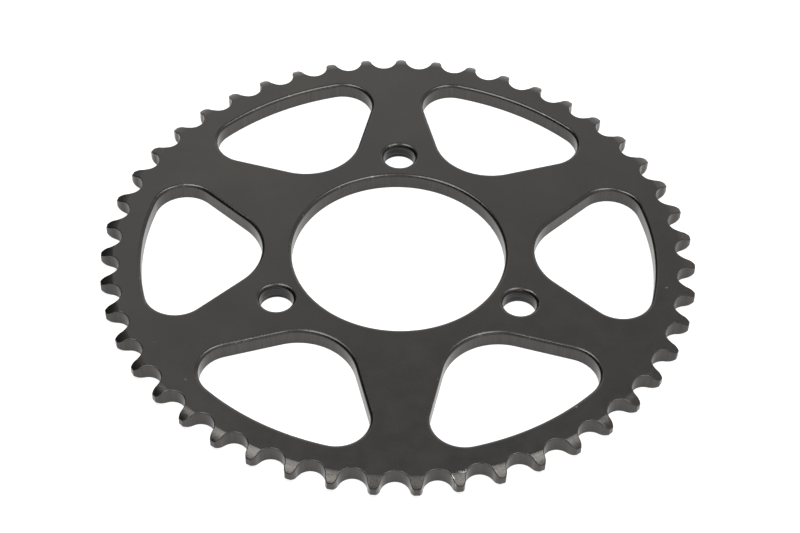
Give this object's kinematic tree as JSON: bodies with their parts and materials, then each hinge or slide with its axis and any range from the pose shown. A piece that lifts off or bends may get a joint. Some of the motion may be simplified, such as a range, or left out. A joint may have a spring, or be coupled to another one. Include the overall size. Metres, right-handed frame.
{
  "type": "rear sprocket",
  "caption": "Flat toothed steel ring for a light motorcycle's rear wheel, with rounded lightening windows between spokes and a hub bore with bolt holes round it.",
  "frame": {"origin": "on the bore's axis, in the middle of the plate's thickness, which is the plane that the chain runs in", "axes": "+Z along the wheel's axis, out of the outer face, under the bolt heads; -Z towards the hub; one bolt hole on +Y"},
  "size_m": [0.1948, 0.1947, 0.0056],
  "materials": {
    "blackened_steel": "satin dark grey oxide over stamped and hobbed steel, worn bright on a few tooth edges"
  },
  "bodies": {
    "root": {"sprocket_plate": "blackened_steel"}
  },
  "joints": []
}
